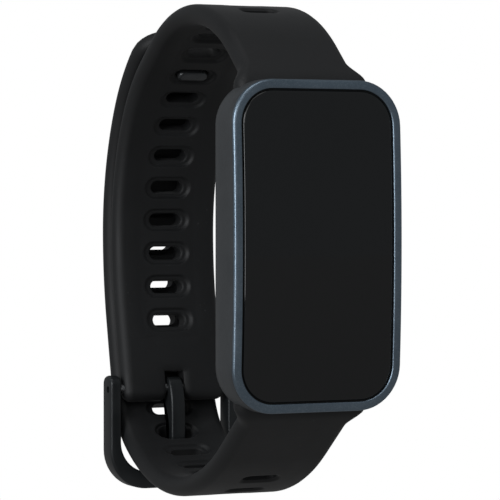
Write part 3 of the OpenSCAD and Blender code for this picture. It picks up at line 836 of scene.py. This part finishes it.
def makeCaseShell():
    # the outline lofted back from a thin lip round the ring, then turned in along a quarter
    # ellipse to the rear face; the inside, the strap pockets and the button's hole are cut out
    lip = [ringAt(1.3, 0, case["ringBack"]), ringAt(0.18, 0, case["ringBack"]),
           ringAt(0.18, 0.68), ringAt(0.15, 0.62), ringAt(0.08, 0.585), ringAt(0.03, 0.60),
           ringAt(0.0, 0.66), ringAt(0.0, 0, -6.4), ringAt(0.0, 0, -5.5)]
    a = np.linspace(0, np.pi / 2, 15)
    turn = [ringAt(case["roundIn"] * (1 - math.cos(t)), 0,
                   case["roundFrom"] * (1 - math.sin(t))) for t in a]
    shell = loftRings("caseShellBody", lip + turn + [ringAt(4.5, 0, 0.0)], sharpAngle=40)
    for hole, perCorner in (("cavity", 8), ("rearOpening", 10)):
        width, height, corner, front, back = case[hole]
        outline, _ = rectPath(width, height, corner, perCorner, 2, 2)
        cutAway(shell, blockMesh(hole + "Cut", outline, front, back))
    w, z = case["pocketHalf"], case["pocketZ"]
    past = 40   # beyond the case's ends
    for side in (1, -1):
        box = np.array([(-w, z), (w, z), (w, past), (-w, past)], float) * [1, side]
        cutAway(shell, blockMesh("pocketCut", box, case["pocketFront"], 9.0))
    cutAway(shell, pillSolid("buttonCut", case["buttonAt"], *buttonAxes, 3.56, 1.16,
                             [(0, 9.0), (0, 14.0)]))
    return shell


caseShell = makeCaseShell()
placePiece(caseShell, "band", "case_shell", "casePaint")
print("case shell:", len(caseShell.data.polygons), "faces")


# ---- buckle ----

buckle = {"width": 20.2, "leg": 1.65, "depth": 3.2, "back": 0.4, "reach": 14.4, "bar": 2.4,
          "outerR": 5.6, "innerR": 4.4, "round": 0.38, "pinHole": 0.5,
          "tongueWidth": 2.2, "tongueThick": 1.4, "eye": 1.6, "tongueR": 12.0, "tip": (1.05, -13.8),
          "tongueRound": 0.34, "legTop": 0.7, "capHigh": 1.3, "room": 0.05, "sideRoom": 0.2}
# the tongue is an arc from the bar to its tip, bowed to the wrist
tip = pivot + np.array(buckle["tip"])
middle = (pivot + tip) / 2
half = np.linalg.norm(tip - pivot) / 2
tongueCentre = middle + (math.sqrt(buckle["tongueR"] ** 2 - half ** 2) / half / 2
                         * np.array([pivot[1] - tip[1], tip[0] - pivot[0]]))


def uPath(halfWidth, drop, corner, legTop, nLeg=26, nArc=14, nBar=44):
    # half of a U from the top of one leg, down, round the corner and along the bar, then the
    # other half mirrored: points as (x, z)
    legZ = np.linspace(legTop, -drop + corner, nLeg)
    a = np.linspace(0, np.pi / 2, nArc)[1:]
    leg = np.stack([np.full(nLeg, -halfWidth), legZ], -1)
    bend = np.stack([-halfWidth + corner - corner * np.cos(a),
                     -drop + corner - corner * np.sin(a)], -1)
    bar = np.stack([np.linspace(-halfWidth + corner, 0, nBar + 1)[1:], np.full(nBar, -drop)], -1)
    left = join([leg, bend, bar])
    return join([left, left[-2::-1] * [-1, 1]])


def sectionLoop(halfWide, halfDeep, radius, perCorner=6):
    # rounded rectangle cross-sections, one row each: (across the wall, through the depth)
    a = np.linspace(0, np.pi / 2, perCorner)
    loop = []
    for turn, (sx, sy) in enumerate(cornerSigns):
        angle = a + turn * np.pi / 2
        loop.append(np.stack([sx * (halfWide - radius)[:, None] + radius[:, None] * np.cos(angle),
                              sy * (halfDeep - radius)[:, None] + radius[:, None] * np.sin(angle)],
                             -1))
    return join(loop, 1)


def makeBuckleFrame():
    # walls between an outer and an inner U; the legs' tops turn round the pin in side view
    top = buckle["legTop"]
    outer = uPath(buckle["width"] / 2, buckle["reach"], buckle["outerR"], top)
    inner = uPath(buckle["width"] / 2 - buckle["leg"], buckle["reach"] - buckle["bar"],
                  buckle["innerR"], top)
    turn = np.linspace(np.pi / 2, 0, 9)[:-1]
    halfDeep = buckle["depth"] / 2
    capZ = top + buckle["capHigh"] * np.sin(turn)
    count = len(turn)
    deep = join([halfDeep * np.cos(turn), np.full(len(outer), halfDeep),
                 halfDeep * np.cos(turn[::-1])])

    def capped(path):
        first = np.stack([np.full(count, path[0, 0]), capZ], -1)
        return join([first, path, first[::-1] * [-1, 1]])

    outer, inner = capped(outer), capped(inner)
    centre, wall = (outer + inner) / 2, (outer - inner) / 2
    halfWide = np.linalg.norm(wall, axis=1)
    wall = wall / halfWide[:, None]
    deep = np.maximum(deep, 0.04)
    ends = join([np.cos(turn), np.ones(len(deep) - 2 * count), np.cos(turn[::-1])])
    wide = halfWide - 0.4 * (1 - ends) ** 2
    radius = np.minimum(np.minimum(buckle["round"], wide * 0.9), deep * 0.95)
    loop = sectionLoop(wide, deep, radius)
    xz = centre[:, None, :] + wall[:, None, :] * loop[..., :1]
    points = np.stack([xz[..., 0], pivot[0] + buckle["back"] + loop[..., 1],
                       pivot[1] + xz[..., 1]], -1)
    # the bar is hollowed where the tongue's tip rests on it
    keepOut = buckle["tongueR"] + buckle["tongueThick"] / 2 + buckle["room"]
    drop = points[..., 2] - tongueCentre[1]
    hollow = tongueCentre[0] - np.sqrt(np.maximum(keepOut ** 2 - drop ** 2, 0))
    near = ((np.abs(points[..., 0]) < buckle["tongueWidth"] / 2 + buckle["sideRoom"])
            & (points[..., 1] > hollow) & (points[..., 2] < pivot[1] - 6))
    points[..., 1] = np.where(near, hollow, points[..., 1])
    return loftRings("buckleFrameBody", points, sharpAngle=40)


def rodMesh(name, x0, x1, centre, radius, count=40):
    # a plain round rod along X
    a = np.linspace(0, 2 * np.pi, count, endpoint=False)
    ring = np.stack([np.zeros(count), centre[0] + radius * np.cos(a),
                     centre[1] + radius * np.sin(a)], -1)
    return loftRings(name, [ring + [x0, 0, 0], ring + [x1, 0, 0]])


buckleFrame = makeBuckleFrame()
cutAway(buckleFrame, rodMesh("pinBore", -20, 20, pivot, buckle["pinHole"]))
placePiece(buckleFrame, "buckle_frame", "buckle_frame", "buckleMetal")


def sideSolid(name, outline, halfWide, radius, steps=5):
    # a closed side view carried across X, its edges rounded by moving the outline in
    nxt, prv = np.roll(outline, -1, 0), np.roll(outline, 1, 0)
    tangent = nxt - prv
    tangent /= np.linalg.norm(tangent, axis=1)[:, None]
    normal = np.stack([tangent[:, 1], -tangent[:, 0]], -1)
    a = np.linspace(0, np.pi / 2, steps)
    inset = join([radius * (1 - np.sin(a)), radius * (1 - np.sin(a[::-1]))])
    x = join([-halfWide + radius * (1 - np.cos(a)),
              halfWide - radius * (1 - np.cos(a[::-1]))])
    rings = outline[None] - inset[:, None, None] * normal[None]
    across = np.broadcast_to(x[:, None, None], rings.shape[:2] + (1,))
    return loftRings(name, join([across, rings], -1), sharpAngle=40)


def makeTongue():
    # an arc band whose half thickness eases from the eye's radius to the blade's, a half round
    # about the bar at one end and a round tip at the other
    c, r, t, eye = tongueCentre, buckle["tongueR"], buckle["tongueThick"] / 2, buckle["eye"]
    a0, a1 = (math.atan2(p[1] - c[1], p[0] - c[0]) % (2 * np.pi) for p in (pivot, tip))
    u = np.linspace(0, 1, 48)
    run = a0 + (a1 - a0) * u
    slim = (t + (eye - t) * (1 - smoothStep(0.0, 0.42, u)))[:, None]
    ray = np.stack([np.cos(run), np.sin(run)], -1)
    turn = math.copysign(1, a1 - a0)
    way = np.stack([-np.sin(run), np.cos(run)], -1) * turn
    half = np.linspace(0, np.pi, 15)[1:-1, None]
    cap = tip + t * (np.cos(half) * ray[-1] + np.sin(half) * way[-1])
    heel = pivot - eye * (np.cos(half) * ray[0] + np.sin(half) * way[0])
    outline = join([c + (r + slim) * ray, cap, (c + (r - slim) * ray)[::-1], heel])
    area = np.sum(outline[:, 0] * np.roll(outline[:, 1], -1)
                  - outline[:, 1] * np.roll(outline[:, 0], -1))
    return sideSolid("buckleTongueBody", outline if area > 0 else outline[::-1],
                     buckle["tongueWidth"] / 2, buckle["tongueRound"])


buckleTongue = makeTongue()
placePiece(buckleTongue, "buckle_tongue", "buckle_tongue", "buckleMetal")
print("buckle made")


# ---- stud and side button ----

studPoint, studHead, _, _ = followRun(upRun, upStart, 90, np.array([upShift + slots["studAt"]]))
# the stud stands 5 mm high on a base this far out of the upper strap's outer face, headed inwards
studBase = 2.1
studOut = np.array([0, *outward(studHead[0])])
studAlong = np.array([0, *forward(studHead[0])])
stud = pillSolid("keeperStudBody", np.array([0, *studPoint[0]]) + studBase * studOut,
                 np.array([1.0, 0, 0]), studAlong, -studOut, 2.3, 0.85,
                 [(0, 0), (0, 4.55), (0.03, 4.72), (0.11, 4.86), (0.24, 4.95), (0.42, 4.99),
                  (0.62, 5.0)])
placePiece(stud, "band", "keeper_stud", "studMetal")

sideButton = pillSolid("sideButtonBody", case["buttonAt"], *buttonAxes, 3.5, 1.1,
                       [(0.6, 9.75), (0.6, 10.55), (-0.4, 10.55), (-0.4, 10.95), (0, 10.95),
                        (0, 12.2), (0.04, 12.33), (0.13, 12.43), (0.28, 12.48), (0.5, 12.5),
                        (0.8, 12.5)])
placePiece(sideButton, "side_button", "side_button", "ringMetal")
print("stud and side button made")


# ---- stage, lights and camera ----

stage = {"floorZ": -0.11, "floorHalf": 3, "seen": 1.0, "floorGlow": 0.17, "worldGlow": 0.18,
         "worldTint": (0.93, 0.97, 1.0), "aim": (0, 0.014, 0)}


def glow(tree, kind, outputKind, given, tint=(1, 1, 1)):
    # white where it is seen directly, softer as a light on the object
    tree.nodes.clear()
    path = addNode(tree, "ShaderNodeLightPath")
    soft = addNode(tree, kind, {"Color": (*tint, 1), "Strength": given})
    seen = addNode(tree, kind, {"Color": (1, 1, 1, 1), "Strength": stage["seen"]})
    mix = addNode(tree, "ShaderNodeMixShader", {0: path.outputs["Is Camera Ray"],
                                                1: soft.outputs[0], 2: seen.outputs[0]})
    addNode(tree, outputKind, {"Surface": mix.outputs[0]})


floorMaterial = bpy.data.materials.new("paleFloorSheet")
floorMaterial.use_nodes = True
glow(floorMaterial.node_tree, "ShaderNodeEmission", "ShaderNodeOutputMaterial",
     stage["floorGlow"])
floorCorners = [(x * stage["floorHalf"], y * stage["floorHalf"], stage["floorZ"])
                for x, y in ((-1, -1), (1, -1), (1, 1), (-1, 1))]
floorMesh = bpy.data.meshes.new("paleFloor")
floorMesh.from_pydata(floorCorners, [], [(0, 1, 2, 3)])
floorMesh.materials.append(floorMaterial)
addObject("paleFloor", floorMesh)

world = bpy.data.worlds.new("softStudio")
bpy.context.scene.world = world
world.use_nodes = True
glow(world.node_tree, "ShaderNodeBackground", "ShaderNodeOutputWorld", stage["worldGlow"],
     stage["worldTint"])


def turnTo(thing, place, way):
    # puts a light or the camera in place, facing along way
    thing.location = place
    thing.rotation_mode = "QUATERNION"
    thing.rotation_quaternion = way.to_track_quat("-Z", "Y")


def areaLight(name, place, size, tall, power, colour):
    # a rectangular light turned to the middle of the object
    light = bpy.data.lights.new(name, "AREA")
    light.shape = "RECTANGLE"
    light.size = size
    light.size_y = tall
    light.energy = power
    light.color = colour
    turnTo(addObject(name, light), place, Vector(stage["aim"]) - Vector(place))


lights = {   # place, width, height, power and tint
    "leftSoftbox": ((-0.75, -0.42, 0.22), 0.35, 0.6, 3.4, (0.96, 0.98, 1.0)),
    "topSoftbox": ((-0.10, -0.25, 0.85), 0.55, 0.4, 0.9, (1, 1, 1)),
    "frontFill": ((-0.35, -0.95, 0.45), 0.5, 0.5, 1.0, (1, 1, 1)),
    "backRim": ((-0.65, 0.45, 0.15), 0.3, 0.6, 0.12, (0.97, 0.99, 1.0)),
}
for lightName, settings in lights.items():
    areaLight(lightName, *settings)

cameraView = {"place": (-0.160665, -0.327477, 0.006740), "azimuth": 25.31, "down": 1.16,
              "lens": 198.04}
cameraData = bpy.data.cameras.new("mainCamera")
cameraData.lens = cameraView["lens"]
cameraData.sensor_width = 36
cameraData.clip_start = 0.02
cameraData.clip_end = 20
camera = addObject("mainCamera", cameraData)
az, down = math.radians(cameraView["azimuth"]), math.radians(cameraView["down"])
turnTo(camera, cameraView["place"],
       Vector((math.sin(az) * math.cos(down), math.cos(az) * math.cos(down), -math.sin(down))))
bpy.context.scene.camera = camera
bpy.context.scene.view_settings.view_transform = "Standard"

print("stage, lights and camera set")
